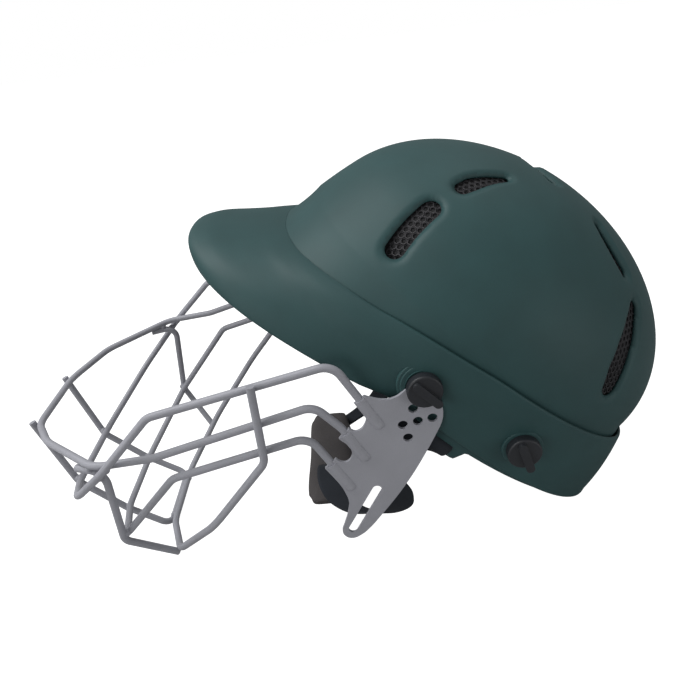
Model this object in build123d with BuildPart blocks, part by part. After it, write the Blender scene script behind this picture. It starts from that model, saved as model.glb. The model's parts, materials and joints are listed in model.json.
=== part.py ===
from build123d import *
import os
from math import asin, atan2, cos, degrees, hypot, radians, sin, tan

# A cricket helmet with an adjustable wire face guard.
# It is drawn with its rim level: X across, Y to the back, Z up, and the middle of
# the dome's widest line as origin. Pieces are made for the wearer's left side, which
# is +X, and mirrored. At the end the whole helmet is leaned back, to stand on the
# chin end of its guard and on the back of its rim.

# Dome and the skirt that leans back below it
dome_half_width = 105.0
dome_half_length = 129.5
dome_height = 94.8
dome_latitudes = (0, 8, 18, 30, 42, 55, 67, 78, 86)
shell_wall = 2.6
skirt_depth = 57.0
rim_half_width = 94.2
rim_half_length = 136.2
rim_setback = 17.0

# Outer moulding: a band round the skirt that runs out into the peak
seam_drop = 4.0
seam_gap = 0.3
band_rise = 4.0
seam_bend_reach = 10.0
seam_mid_reach = 80.0
seam_mid_drop = 15.5
seam_front_reach = 132.0
seam_front_drop = 39.5
seam_ledge = 3.4
peak_top_half_width = 104.7
peak_top_front = 84.6
peak_top_squareness = 3.06
peak_ring_depth = 80.0
peak_low_half_width = 89.5
peak_low_front = 189.2
peak_low_squareness = 2.44
peak_back = 50.0
peak_wall = 3.0
peak_tip_reach = 183.0
peak_tip_drop = 74.0
peak_corner_reach = 66.0
peak_corner_drop = 57.5
peak_corner_length = 16.0
wall_split = 30.0
overrun = 8.0

# Vents, by longitude and latitude of both ends on the dome, in degrees
vent_width = 9.0
vent_dish = 3.2
vent_dish_depth = 1.2
vent_ends = (
    ((-45.4, 9.5), (-48.6, 26.5)),
    ((-50.4, 38.5), (-47.9, 53.5)),
    ((26.5, 14.5), (27.6, 44.0)),
    ((26.5, 55.0), (12.0, 69.0)),
)
crown_vent_half_length = 20.0
crown_vent_reach = 12.0

# Thumb screws and their seats
screw_radius = 2.5
screw_tip = 84.5
screw_grip = 3.5
running_clearance = 0.06
hole_clearance = 0.25
face_gap = 0.1
grip_gap = 0.02
knob_radius = 10.0
knob_height = 5.4
knob_edge = 1.3
fin_width = 5.0
fin_reach = 12.2
fin_tail = 8.5
fin_foot = 2.4
fin_rise = 2.2
fin_edge = 0.8
front_boss_radius = 15.0
front_boss_face = 98.9
front_screw_back = -38.0
front_screw_up = -33.0
front_fin_angle = -5.0
rear_boss_radius = 12.0
rear_boss_face = 102.6
rear_screw_back = 34.5
rear_screw_up = -31.5
rear_fin_angle = -31.0
boss_foot = 86.0
inner_boss_radius = 10.5
inner_boss_face = 84.0
insert_flange_radius = 8.0
insert_flange = 1.5
insert_radius = 4.0
insert_length = 6.5
insert_fit = 0.1

# Side plates of the guard, by places back and up from the front screw, in shares
# of the plate's length
plate_thickness = 1.8
plate_length = 114.0
plate_hole_radius = 2.9
plate_hole_shares = ((0.033, -0.125), (0.146, -0.111), (0.099, -0.168),
                     (0.053, -0.230), (0.123, -0.275))
plate_slot_width = 5.8
plate_slot_shares = ((0.200, -0.634), (0.263, -0.932))
plate_head_shares = ((-0.062, -0.068), (0.018, 0.107), (0.125, -0.015))
plate_edge_shares = ((0.168, -0.056), (0.201, -0.116), (0.244, -0.244), (0.293, -0.482),
                     (0.331, -0.791), (0.345, -0.913), (0.306, -1.003), (0.215, -0.978),
                     (0.128, -0.792), (0.100, -0.749), (0.009, -0.698), (-0.097, -0.681),
                     (-0.099, -0.594), (-0.052, -0.515), (-0.154, -0.490), (-0.161, -0.400),
                     (-0.124, -0.301), (-0.216, -0.282), (-0.213, -0.210), (-0.101, -0.160))
plate_corner = 1.6

# Sockets pressed in the plates over the ends of the three bars
socket_end_shares = ((-0.046, -0.299), (0.018, -0.501), (0.074, -0.699))
socket_angle = 160.0
socket_length = 20.6
socket_wall = 1.4
socket_clearance = 0.08

# Wires of the guard: after its straight end each bar turns at corners on the left
# half, by places out, back and up, each with its bend
wire_radius = 2.4
bar_out = 99.0
upper_bar_leg = 46.6
upper_bar_bend = 11.0
upper_bar_corners = (((99.0, -152.0, -139.5), 11.0), ((104.6, -155.5, -186.0), 34.0),
                     ((84.0, -157.5, -231.0), 45.0), ((34.0, -158.0, -267.0), 40.0))
middle_bar_leg = 24.0
middle_bar_bend = 20.0
middle_bar_corners = (((99.0, -80.0, -79.0), 11.0), ((99.0, -136.0, -163.0), 30.0),
                      ((98.5, -161.0, -189.0), 22.0), ((62.0, -191.0, -221.0), 40.0),
                      ((30.0, -202.0, -239.5), 30.0))
lower_bar_leg = 43.0
lower_bar_bend = 11.0
lower_bar_corners = (((99.0, -119.0, -169.5), 11.0), ((88.0, -118.5, -236.0), 13.0),
                     ((30.0, -117.5, -270.0), 28.0))
chin_bar_top = (103.9, -116.8, -85.5)
chin_bar_corners = (((103.9, -82.4, -124.6), 11.0), ((103.9, -81.5, -184.0), 45.0),
                    ((80.0, -81.0, -237.0), 26.0), ((30.0, -82.0, -265.4), 30.0))
strut_top = (90.0, -168.2, -203.1)
strut_corners = (((96.7, -153.9, -190.4), 9.0), ((92.15, -118.2, -237.9), 11.0))
strut_end = (74.3, -79.1, -246.1)
hairpin_tip = (30.0, -206.8, -241.2)
hairpin_corners = (((29.5, -158.0, -272.0), 12.0), ((30.0, -117.3, -274.1), 14.0),
                   ((30.0, -82.5, -270.3), 8.0))

# Linings
mesh_gap = 0.3
mesh_thickness = 0.9
mesh_rise = 8.0
liner_thickness = 12.5
liner_depth = 46.0
liner_pocket_radius = 12.0
pad_gap = 0.35
pad_thickness = 8.5
pad_depth = 43.0
end_pad_half_width = 54.0
end_pad_top = -6.0
side_pad_half_length = 22.0
side_pad_back = -1.7
side_pad_top = 2.0
crown_pad_radius = 42.0

# Chin strap, the tabs it hangs from and its pad
tab_width = 27.0
tab_drop = 9.0
tab_back = 0.5
tab_rise = 10.0
tab_inset = 1.4
tab_corner = 5.0
tab_slot_height = 2.9
tab_slot_drop = 58.9
tab_slot_spare = 0.6
strap_width = 17.0
strap_thickness = 1.8
strap_gap = 0.3
strap_back = -1.5
strap_leg_foot = -71.0
strap_places = (
    ((87.4, -1.5, -85.0), 5.0),
    ((85.5, 2.0, -100.0), 15.0),
    ((80.5, 9.5, -115.0), 25.0),
    ((74.0, 11.0, -133.0), 35.0),
    ((67.0, 6.0, -149.5), 40.0),
    ((57.0, -0.8, -162.5), 42.0),
    ((42.0, -2.4, -168.9), 42.0),
    ((27.0, -2.4, -168.9), 42.0),
)
chin_pad_back = -7.0
chin_pad_up = -164.0
chin_pad_half_length = 55.0
chin_pad_sizes = ((-1.0, 21.0, 5.0), (-0.6, 30.0, 10.6), (0.0, 31.0, 11.0),
                  (0.6, 30.0, 10.6), (1.0, 21.0, 5.0))
chin_pad_roundness = 0.45


def side_plane(out, back=0.0, up=0.0):
    """Plane facing out of the left side: its x runs back and its y runs up."""
    return Plane(origin=(out, back, up), x_dir=(0, 1, 0), z_dir=(1, 0, 0))


def skirt_sizes(depth, grow):
    """Half width, half length and setback of the leaning skirt at a depth."""
    share = depth / skirt_depth
    half_width = dome_half_width + (rim_half_width - dome_half_width) * share + grow
    half_length = dome_half_length + (rim_half_length - dome_half_length) * share + grow
    return half_width, half_length, rim_setback * share


def skirt_ring(depth, grow):
    half_width, half_length, setback = skirt_sizes(depth, grow)
    with BuildSketch(Plane.XY.offset(-depth)) as ring:
        with Locations((0, setback)):
            Ellipse(half_width, half_length)
    return ring.sketch


def dome_ring(latitude, grow):
    height = (dome_height + grow) * sin(radians(latitude))
    shrink = cos(radians(latitude))
    with BuildSketch(Plane.XY.offset(height)) as ring:
        Ellipse((dome_half_width + grow) * shrink, (dome_half_length + grow) * shrink)
    return ring.sketch


def hull(depth, grow):
    """Dome and leaning skirt as one block, grown outwards all over."""
    with BuildPart() as block:
        loft([skirt_ring(0, grow), skirt_ring(depth, grow)])
        loft([dome_ring(latitude, grow) for latitude in dome_latitudes])
    return block.part


def squared_oval(width, front, back, squareness):
    """Points of a closed outline with a squared nose."""
    count = 36
    power = 2 / squareness
    points = []
    for step in range(count):
        across = cos(radians(360 * step / count))
        along = sin(radians(360 * step / count))
        x = width * abs(across) ** power * (1 if across >= 0 else -1)
        y = back * along ** power if along >= 0 else -front * (-along) ** power
        points.append((x, y))
    return points


def peak_ring(depth, width, front, squareness):
    with BuildSketch(Plane.XY.offset(-depth)) as ring:
        with BuildLine():
            Spline(*squared_oval(width, front, peak_back, squareness), periodic=True)
        make_face()
    return ring.sketch


def peak_block(inset):
    """The peak as a full block, or the space under it when inset by its wall."""
    run = (peak_low_front - peak_top_front) / (peak_ring_depth - seam_drop)
    nose_inset = inset * (1 + run)
    top = peak_ring(seam_drop, peak_top_half_width - inset,
                    peak_top_front - nose_inset, peak_top_squareness)
    low = peak_ring(peak_ring_depth, peak_low_half_width - inset,
                    peak_low_front - nose_inset, peak_low_squareness)
    with BuildPart() as block:
        loft([top, low])
    return block.part


def dome_point(longitude, latitude):
    """Point on the dome and the way out of it there."""
    flat = cos(radians(latitude))
    point = Vector(dome_half_width * flat * cos(radians(longitude)),
                   dome_half_length * flat * sin(radians(longitude)),
                   dome_height * sin(radians(latitude)))
    outward = Vector(point.X / dome_half_width ** 2, point.Y / dome_half_length ** 2,
                     point.Z / dome_height ** 2)
    return point, outward.normalized()


def slot_block(plane, length, width):
    with BuildPart() as block:
        with BuildSketch(plane.offset(overrun)):
            SlotCenterToCenter(length, width)
        extrude(amount=-3 * overrun)
    return block.part


def both(block):
    return [block, mirror(block, about=Plane.YZ)]


def vent_blocks(widening):
    """Blocks of every vent on both sides, and of the one across the crown."""
    width = vent_width + 2 * widening
    crown = Plane(origin=(0, -crown_vent_reach, dome_height), x_dir=(1, 0, 0), z_dir=(0, 0, 1))
    blocks = [slot_block(crown, 2 * crown_vent_half_length, width)]
    for first, last in vent_ends:
        start, end = dome_point(*first)[0], dome_point(*last)[0]
        middle, outward = dome_point((first[0] + last[0]) / 2, (first[1] + last[1]) / 2)
        plane = Plane(origin=middle, x_dir=end - start, z_dir=outward)
        blocks += both(slot_block(plane, (end - start).length, width))
    return blocks


def rod(radius, inner, outer, back, up):
    """Cylinder across the helmet on the left side, from one distance out to another."""
    with BuildPart() as block:
        with BuildSketch(side_plane(inner, back, up)):
            Circle(radius)
        extrude(amount=outer - inner)
    return block.part


def on_screws(radius, inner, outer):
    """Rods of one size on all four screw lines."""
    front = rod(radius, inner, outer, front_screw_back, front_screw_up)
    rear = rod(radius, inner, outer, rear_screw_back, rear_screw_up)
    return both(front) + both(rear)


def wire(start, corners, end):
    """Round wire from start to end that turns at each corner with its own bend."""
    stops = [Vector(*start)] + [Vector(*corner) for corner, bend in corners] + [Vector(*end)]
    with BuildLine() as path:
        here = stops[0]
        for index, (corner, bend) in enumerate(corners, start=1):
            into = (stops[index] - stops[index - 1]).normalized()
            away = (stops[index + 1] - stops[index]).normalized()
            cut = bend * tan(radians(into.get_angle(away)) / 2)
            turn_in, turn_out = stops[index] - into * cut, stops[index] + away * cut
            Line(here, turn_in)
            TangentArc(turn_in, turn_out, tangent=into)
            here = turn_out
        Line(here, stops[-1])
    with BuildPart() as rod_block:
        with BuildSketch(Plane(origin=stops[0], z_dir=stops[1] - stops[0])):
            Circle(wire_radius)
        sweep(path=path.wires()[0])
    return rod_block.part


def bar(start, corners):
    """Wire from start over the left half's corners and back over the right half's."""
    right = [((-place[0], place[1], place[2]), bend) for place, bend in reversed(corners)]
    return wire(start, list(corners) + right, (-start[0], start[1], start[2]))


def on_plate(share):
    """Place back and up on the plate, from its share of the plate's length."""
    return front_screw_back + share[0] * plate_length, front_screw_up + share[1] * plate_length


def socket_bar(end_share, leg, bend, corners):
    """Bar whose two ends lie in sockets and start with a straight leg."""
    back, up = on_plate(end_share)
    turn = (bar_out, back + leg * cos(radians(socket_angle)), up + leg * sin(radians(socket_angle)))
    return bar((bar_out, back, up), [(turn, bend), *corners])


def socket_block(end_share, radius, reach):
    """Round block over a bar's end, on the outer side of the plate's inner face."""
    back, up = on_plate(end_share)
    along = Vector(0, cos(radians(socket_angle)), sin(radians(socket_angle)))
    foot = Vector(bar_out, back, up) - along * (radius - wire_radius)
    with BuildPart() as block:
        with BuildSketch(Plane(origin=foot, x_dir=(1, 0, 0), z_dir=along)):
            with Locations((radius / 2, 0)):
                Rectangle(radius, 2 * radius)
            Circle(radius, mode=Mode.INTERSECT)
        extrude(amount=reach + radius - wire_radius)
    return block.part


pieces = {}
rim_drop = skirt_depth - band_rise
far = peak_tip_reach + peak_low_front
tab_face = skirt_sizes(skirt_depth, 0)[0] - tab_inset
lining = shell_wall + 2 * mesh_gap + mesh_thickness
chin_back, chin_up = hairpin_corners[-1][0][1:]
run, drop = rim_setback + rim_half_length - chin_back, -skirt_depth - chin_up
lean = degrees(atan2(drop, run) + asin(wire_radius / hypot(run, drop)))

# Dome shell: dome, inner skirt, seats for the inserts and the strap tabs
screw_holes = on_screws(screw_radius + hole_clearance, 0, rear_boss_face + overrun)
wide_vents = vent_blocks(vent_dish)
vents = vent_blocks(0)
inner_bosses = on_screws(inner_boss_radius, inner_boss_face, dome_half_width)
insert_holes = on_screws(insert_radius + insert_fit, 0, inner_boss_face + insert_length)

with BuildPart() as seats:
    add(inner_bosses)
    add(hull(skirt_depth + overrun, 0), mode=Mode.INTERSECT)

with BuildPart() as tab:
    with BuildSketch(side_plane(tab_face - shell_wall, tab_back, -skirt_depth)):
        with Locations((0, (tab_rise - tab_drop) / 2)):
            RectangleRounded(tab_width, tab_drop + tab_rise, tab_corner)
        with Locations((strap_back - tab_back, skirt_depth - tab_slot_drop)):
            Rectangle(strap_width + 2 * tab_slot_spare, tab_slot_height, mode=Mode.SUBTRACT)
    extrude(amount=shell_wall)
tabs = both(tab.part)

with BuildPart() as dishes:
    add(hull(skirt_depth, overrun))
    add(hull(skirt_depth + overrun, -vent_dish_depth), mode=Mode.SUBTRACT)
    add(wide_vents, mode=Mode.INTERSECT)

with BuildPart() as dome_shell:
    add(hull(skirt_depth, 0))
    add(hull(skirt_depth + overrun, -shell_wall), mode=Mode.SUBTRACT)
    add(seats.part)
    add(tabs)
    add(dishes.part, mode=Mode.SUBTRACT)
    add(vents, mode=Mode.SUBTRACT)
    add(insert_holes, mode=Mode.SUBTRACT)
    add(screw_holes, mode=Mode.SUBTRACT)
pieces["dome_shell"] = dome_shell.part

# Peak and skirt moulding
front_bosses = both(rod(front_boss_radius, boss_foot, front_boss_face,
                        front_screw_back, front_screw_up))
front_flats = both(rod(front_boss_radius, front_boss_face, far, front_screw_back, front_screw_up))
rear_bosses = both(rod(rear_boss_radius, boss_foot, rear_boss_face,
                       rear_screw_back, rear_screw_up))

with BuildPart() as wall:
    loft([skirt_ring(depth, seam_gap + shell_wall) for depth in (0, skirt_depth)])
    split(bisect_by=Plane.XZ.offset(wall_split), keep=Keep.BOTTOM)

with BuildPart() as rim_trim:
    with BuildSketch(Plane.YZ):
        with BuildLine():
            tip_slope = (peak_tip_drop - peak_corner_drop) / (peak_tip_reach - peak_corner_reach)
            nose = (-far, -peak_tip_drop - (far - peak_tip_reach) * tip_slope)
            corner = (-peak_corner_reach, -peak_corner_drop)
            Polyline(nose, corner, (peak_corner_length - peak_corner_reach, -rim_drop),
                     (far, -rim_drop), (far, -far), (-far, -far), nose)
        make_face()
    extrude(amount=far, both=True)

with BuildPart() as seam_trim:
    with BuildSketch(Plane.YZ):
        with BuildLine():
            bend, front = (-seam_bend_reach, -seam_drop), (-seam_front_reach, -seam_front_drop)
            Polyline(front, (-seam_front_reach, far), (far, far), (far, -seam_drop), bend)
            ThreePointArc(bend, (-seam_mid_reach, -seam_mid_drop), front)
        make_face()
    extrude(amount=far, both=True)
    add(hull(skirt_depth, seam_gap + seam_ledge), mode=Mode.INTERSECT)

with BuildPart() as peak_and_skirt:
    add(peak_block(0))
    add(peak_block(peak_wall), mode=Mode.SUBTRACT)
    add(wall.part)
    add(front_bosses + rear_bosses)
    add(hull(skirt_depth + overrun + peak_ring_depth, seam_gap), mode=Mode.SUBTRACT)
    add(rim_trim.part, mode=Mode.SUBTRACT)
    add(seam_trim.part, mode=Mode.SUBTRACT)
    add(front_flats + screw_holes, mode=Mode.SUBTRACT)
pieces["peak_and_skirt"] = peak_and_skirt.part

# Mesh behind the vents and foam liner
with BuildPart() as vent_mesh:
    add(hull(skirt_depth, -shell_wall - mesh_gap))
    add(hull(skirt_depth + overrun, -shell_wall - mesh_gap - mesh_thickness), mode=Mode.SUBTRACT)
    split(bisect_by=Plane.XY.offset(mesh_rise), keep=Keep.TOP)
pieces["vent_mesh"] = vent_mesh.part

liner_pockets = on_screws(liner_pocket_radius, 0, dome_half_width)
with BuildPart() as liner:
    add(hull(liner_depth, -lining))
    add(hull(skirt_depth, -lining - liner_thickness), mode=Mode.SUBTRACT)
    add(liner_pockets, mode=Mode.SUBTRACT)
pieces["liner"] = liner.part

# Comfort pads on the liner
with BuildPart() as padding:
    add(hull(pad_depth, -lining - liner_thickness - pad_gap))
    add(hull(skirt_depth, -lining - liner_thickness - pad_gap - pad_thickness), mode=Mode.SUBTRACT)


def pad_on(plane, outline, rise):
    """Part of the padding under an outline that is extruded by a rise."""
    with BuildPart() as pad:
        with BuildSketch(plane):
            outline()
        extrude(amount=rise)
        add(padding.part, mode=Mode.INTERSECT)
    return pad.part


def end_outline():
    with Locations((0, (end_pad_top - pad_depth) / 2)):
        RectangleRounded(2 * end_pad_half_width, pad_depth + end_pad_top, overrun)


def side_outline():
    with Locations((0, (side_pad_top - pad_depth) / 2)):
        RectangleRounded(2 * side_pad_half_length, pad_depth + side_pad_top, overrun)


def crown_outline():
    Circle(crown_pad_radius)


pieces["front_pad"] = pad_on(Plane.XZ, end_outline, far)
pieces["rear_pad"] = pad_on(Plane.XZ, end_outline, -far)
side_pad = pad_on(side_plane(0, side_pad_back), side_outline, far)
pieces["side_pad_left"], pieces["side_pad_right"] = both(side_pad)
pieces["crown_pad"] = pad_on(Plane.XY, crown_outline, far)

# Threaded inserts, screws and knobs
screw_places = {
    "front": (front_screw_back, front_screw_up, front_fin_angle,
              bar_out + plate_thickness + face_gap),
    "rear": (rear_screw_back, rear_screw_up, rear_fin_angle, rear_boss_face + face_gap),
}
for name, (back, up, angle, seat) in screw_places.items():
    with BuildPart() as insert:
        with BuildSketch(side_plane(inner_boss_face - insert_flange, back, up)):
            Circle(insert_flange_radius)
        extrude(amount=insert_flange)
        with BuildSketch(side_plane(inner_boss_face, back, up)):
            Circle(insert_radius)
        extrude(amount=insert_length)
        with BuildSketch(side_plane(inner_boss_face - insert_flange, back, up)):
            Circle(screw_radius + running_clearance)
        extrude(amount=insert_flange + insert_length, mode=Mode.SUBTRACT)
    pieces[f"{name}_insert_left"], pieces[f"{name}_insert_right"] = both(insert.part)

    screw = rod(screw_radius, screw_tip, seat + screw_grip, back, up)
    pieces[f"{name}_screw_left"], pieces[f"{name}_screw_right"] = both(screw)

    with BuildPart() as knob:
        with BuildSketch(side_plane(seat, back, up)):
            Circle(knob_radius)
        extrude(amount=knob_height)
        fillet(knob.edges().filter_by(GeomType.CIRCLE).sort_by(Axis.X)[-1], knob_edge)
        with BuildSketch(side_plane(seat + fin_foot, back, up)):
            with PolarLocations((fin_reach - fin_tail) / 2, 1, start_angle=angle):
                SlotOverall(fin_reach + fin_tail, fin_width)
        extrude(amount=knob_height + fin_rise - fin_foot)
        with BuildSketch(side_plane(seat, back, up)):
            Circle(screw_radius + grip_gap)
        extrude(amount=screw_grip, mode=Mode.SUBTRACT)
    pieces[f"{name}_knob_left"], pieces[f"{name}_knob_right"] = both(knob.part)

# Side plates
with BuildPart() as side_plate:
    with BuildSketch(side_plane(bar_out)):
        with BuildLine():
            first, top, last = (on_plate(share) for share in plate_head_shares)
            ThreePointArc(first, top, last)
            Polyline(last, *(on_plate(share) for share in plate_edge_shares), first)
        make_face()
        with Locations(*(on_plate(share) for share in plate_hole_shares)):
            Circle(plate_hole_radius, mode=Mode.SUBTRACT)
        with Locations(on_plate((0, 0))):
            Circle(screw_radius + running_clearance, mode=Mode.SUBTRACT)
        slot_top, slot_foot = (Vector(*on_plate(share)) for share in plate_slot_shares)
        slot_run = slot_foot - slot_top
        with Locations(slot_top + slot_run / 2):
            SlotCenterToCenter(slot_run.length, plate_slot_width,
                               rotation=degrees(atan2(slot_run.Y, slot_run.X)),
                               mode=Mode.SUBTRACT)
    extrude(amount=plate_thickness)
    fillet(side_plate.edges().filter_by(Axis.X).filter_by(lambda edge: edge.length < overrun), plate_corner)
    for share in socket_end_shares:
        add(socket_block(share, wire_radius + socket_clearance + socket_wall, socket_length))
    for share in socket_end_shares:
        add(socket_block(share, wire_radius + socket_clearance, far), mode=Mode.SUBTRACT)
pieces["side_plate_left"], pieces["side_plate_right"] = both(side_plate.part)

# Bars, struts and the hairpin under the chin
pieces["upper_bar"] = socket_bar(socket_end_shares[0], upper_bar_leg, upper_bar_bend,
                                 upper_bar_corners)
pieces["middle_bar"] = socket_bar(socket_end_shares[1], middle_bar_leg, middle_bar_bend,
                                  middle_bar_corners)
pieces["lower_bar"] = socket_bar(socket_end_shares[2], lower_bar_leg, lower_bar_bend,
                                 lower_bar_corners)
pieces["chin_bar"] = bar(chin_bar_top, chin_bar_corners)
pieces["strut_left"], pieces["strut_right"] = both(wire(strut_top, strut_corners, strut_end))
pieces["chin_hairpin"] = bar(hairpin_tip, hairpin_corners)

# Chin pad, and the straps that loop through the tabs and run under it
with BuildPart() as chin_pad:
    for share, width, height in chin_pad_sizes:
        place = (share * chin_pad_half_length, chin_pad_back, chin_pad_up)
        level = Plane(origin=place, x_dir=(0, cos(radians(lean)), sin(radians(lean))),
                      z_dir=(1, 0, 0))
        with BuildSketch(level):
            RectangleRounded(width, height, chin_pad_roundness * height)
    loft()
pieces["chin_pad"] = chin_pad.part

slot_floor = -tab_slot_drop - tab_slot_height / 2
tab_foot = -skirt_depth - tab_drop
with BuildPart() as strap:
    with BuildSketch(Plane.XZ.offset(-strap_back - strap_width / 2)):
        with Locations((tab_face - shell_wall / 2, (slot_floor + tab_foot) / 2)):
            bar_height = slot_floor - tab_foot + 2 * strap_gap
            bar_width = shell_wall + 2 * strap_gap
            RectangleRounded(bar_width + 2 * strap_thickness, bar_height + 2 * strap_thickness,
                             strap_thickness)
            Rectangle(bar_width, bar_height, mode=Mode.SUBTRACT)
    extrude(amount=strap_width)
    strap_out = tab_face - shell_wall - strap_gap - strap_thickness / 2
    stops = [Vector(strap_out, strap_back, (slot_floor + tab_foot) / 2),
             Vector(strap_out - 2 * strap_gap, strap_back, strap_leg_foot)]
    stops += [Vector(*place) for place, tilt in strap_places]
    tilts = [0, 0] + [tilt for place, tilt in strap_places]
    for index, (stop, tilt) in enumerate(zip(stops, tilts)):
        travel = stops[min(index + 1, len(stops) - 1)] - stops[max(index - 1, 0)]
        if index == 0:
            travel = Vector(0, 0, -1)
        across = Vector(0, cos(radians(tilt)), sin(radians(tilt)))
        with BuildSketch(Plane(origin=stop, x_dir=across, z_dir=travel)):
            Rectangle(strap_width, strap_thickness)
    loft()
pieces["chin_strap_left"], pieces["chin_strap_right"] = both(strap.part)

# Lean the helmet back until it stands, then centre it on the ground
leaned = {name: piece.moved(Location((0, 0, 0), (-lean, 0, 0))) for name, piece in pieces.items()}
span = Compound(children=[Compound(piece.wrapped) for piece in leaned.values()]).bounding_box()
seat_move = Location((0, -span.center().Y, -span.min.Z))

os.makedirs("parts", exist_ok=True)
for name, piece in leaned.items():
    placed = piece.moved(seat_move)
    placed.label = name
    export_step(placed, f"parts/{name}.step")
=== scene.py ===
"""Cricket helmet with an adjustable wire face guard: its looks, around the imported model."""

import json
import logging
import math
from bisect import bisect_right
from collections.abc import Callable
from dataclasses import dataclass
from enum import Enum

import bmesh
import bpy
from mathutils import Matrix, Vector
from mathutils.kdtree import KDTree

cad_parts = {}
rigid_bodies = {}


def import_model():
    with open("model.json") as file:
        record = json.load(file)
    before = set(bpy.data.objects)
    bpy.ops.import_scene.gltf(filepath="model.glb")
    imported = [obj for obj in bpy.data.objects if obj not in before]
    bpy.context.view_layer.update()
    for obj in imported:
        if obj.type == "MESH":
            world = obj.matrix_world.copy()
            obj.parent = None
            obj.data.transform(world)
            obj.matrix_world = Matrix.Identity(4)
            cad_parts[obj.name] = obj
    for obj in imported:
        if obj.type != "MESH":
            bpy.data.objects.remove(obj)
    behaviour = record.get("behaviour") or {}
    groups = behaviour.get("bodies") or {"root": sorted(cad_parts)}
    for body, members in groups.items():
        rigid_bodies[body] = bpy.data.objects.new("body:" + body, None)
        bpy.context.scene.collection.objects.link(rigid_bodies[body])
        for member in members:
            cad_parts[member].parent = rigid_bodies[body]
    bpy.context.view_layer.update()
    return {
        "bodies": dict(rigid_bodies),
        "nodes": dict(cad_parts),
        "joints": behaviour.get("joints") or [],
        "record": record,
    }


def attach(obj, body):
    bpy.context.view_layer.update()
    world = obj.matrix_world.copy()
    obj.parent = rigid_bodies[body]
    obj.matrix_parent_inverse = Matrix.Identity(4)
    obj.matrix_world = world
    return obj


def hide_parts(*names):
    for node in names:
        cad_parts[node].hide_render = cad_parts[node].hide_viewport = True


LOG = logging.getLogger("helmet")
MM = 0.001
SIDES = (("left", 1), ("right", -1))

Pair = tuple[float, float]
Triple = tuple[float, float, float]
Quad = tuple[float, float, float, float]
Beads = list[tuple[Vector, float]]
Materials = dict[str, bpy.types.Material]


def smooth(share: float) -> float:
    """Ease from 0 to 1 as the share goes from 0 to 1."""
    share = min(max(share, 0.0), 1.0)
    return share * share * (3.0 - 2.0 * share)


def table(places: tuple[Pair, ...], at: float) -> float:
    """Read a table with a smooth curve through its values.

    Args:
        places: Places in rising order, each with its value.
        at: Place to read.

    Returns:
        The value there. Past its ends the table keeps its last value.
    """
    if at <= places[0][0]:
        return places[0][1]
    if at >= places[-1][0]:
        return places[-1][1]
    index = bisect_right([place for place, _ in places], at)
    (start, low), (end, high) = places[index - 1], places[index]
    before, lower = places[max(index - 2, 0)]
    after, higher = places[min(index + 1, len(places) - 1)]
    leave = (high - lower) / (end - before)
    arrive = (higher - low) / (after - start)
    share = (at - start) / (end - start)
    bend = (end - start) * share * (1 - share) * (leave * (1 - share) - arrive * share)
    return low + (high - low) * smooth(share) + bend


@dataclass(frozen=True)
class Stand:
    """How the helmet stands: drawn with its rim level, then leaned back about X.

    Attributes:
        lean: Angle that the rim is leaned back by, in degrees.
        pivot: The front screw line in the level drawing, back and up, in millimetres.
        seat: The same line as the model stands, back and up, in metres.
    """

    lean: float = 42.57654
    pivot: Pair = (-38.0, -33.0)
    seat: Pair = (0.0511229, 0.1470265)

    @property
    def matrix(self) -> Matrix:
        """Work out how the level drawing becomes the standing model.

        Returns:
            Transform from millimetres in the drawing to metres in the model.
        """
        away = Matrix.Translation(Vector((0.0, -self.pivot[0], -self.pivot[1])))
        turn = Matrix.Rotation(-math.radians(self.lean), 4, "X")
        scale = Matrix.Scale(MM, 4)
        return Matrix.Translation(Vector((0.0, *self.seat))) @ scale @ turn @ away


STAND = Stand()


def shown(work: bmesh.types.BMesh, name: str, material: bpy.types.Material) -> bpy.types.Object:
    """Stand a mesh up as a smooth object.

    Args:
        work: Mesh drawn in level millimetres, which is used up.
        name: Name of the object.
        material: Its one material.

    Returns:
        The object, in the scene.
    """
    bmesh.ops.transform(work, matrix=STAND.matrix, verts=work.verts)
    bmesh.ops.recalc_face_normals(work, faces=work.faces)
    for face in work.faces:
        face.smooth = True
    mesh = bpy.data.meshes.new(name)
    work.to_mesh(mesh)
    work.free()
    mesh.materials.append(material)
    piece = bpy.data.objects.new(name, mesh)
    bpy.context.scene.collection.objects.link(piece)
    LOG.info("%s: %d faces", name, len(mesh.polygons))
    return piece


def declare(piece: bpy.types.Object, slot: str, body: str = "helmet", node: str = "") -> None:
    """Put a finished piece on the body that it rides on, and hide the plain node whose place it takes.

    Args:
        piece: The piece, with its modifiers on.
        slot: Slot of its finish, which is not used.
        body: Body that carries it.
        node: Plain node whose place it takes, where there is one.
    """
    if node:
        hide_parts(node)
    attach(piece, body)


def mapped(columns: int, rows: int, place: Callable[[float, float], Vector]) -> bmesh.types.BMesh:
    """Lay a grid over a surface.

    Args:
        columns: Cells across.
        rows: Cells down.
        place: Gives the point for two shares from 0 to 1.

    Returns:
        The mesh, with points that fall together joined.
    """
    work = bmesh.new()
    bmesh.ops.create_grid(work, x_segments=columns, y_segments=rows, size=0.5, calc_uvs=True)
    for vertex in work.verts:
        vertex.co = place(vertex.co.x + 0.5, vertex.co.y + 0.5)
    bmesh.ops.remove_doubles(work, verts=work.verts, dist=0.01)
    bmesh.ops.recalc_face_normals(work, faces=work.faces)
    return work


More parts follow.
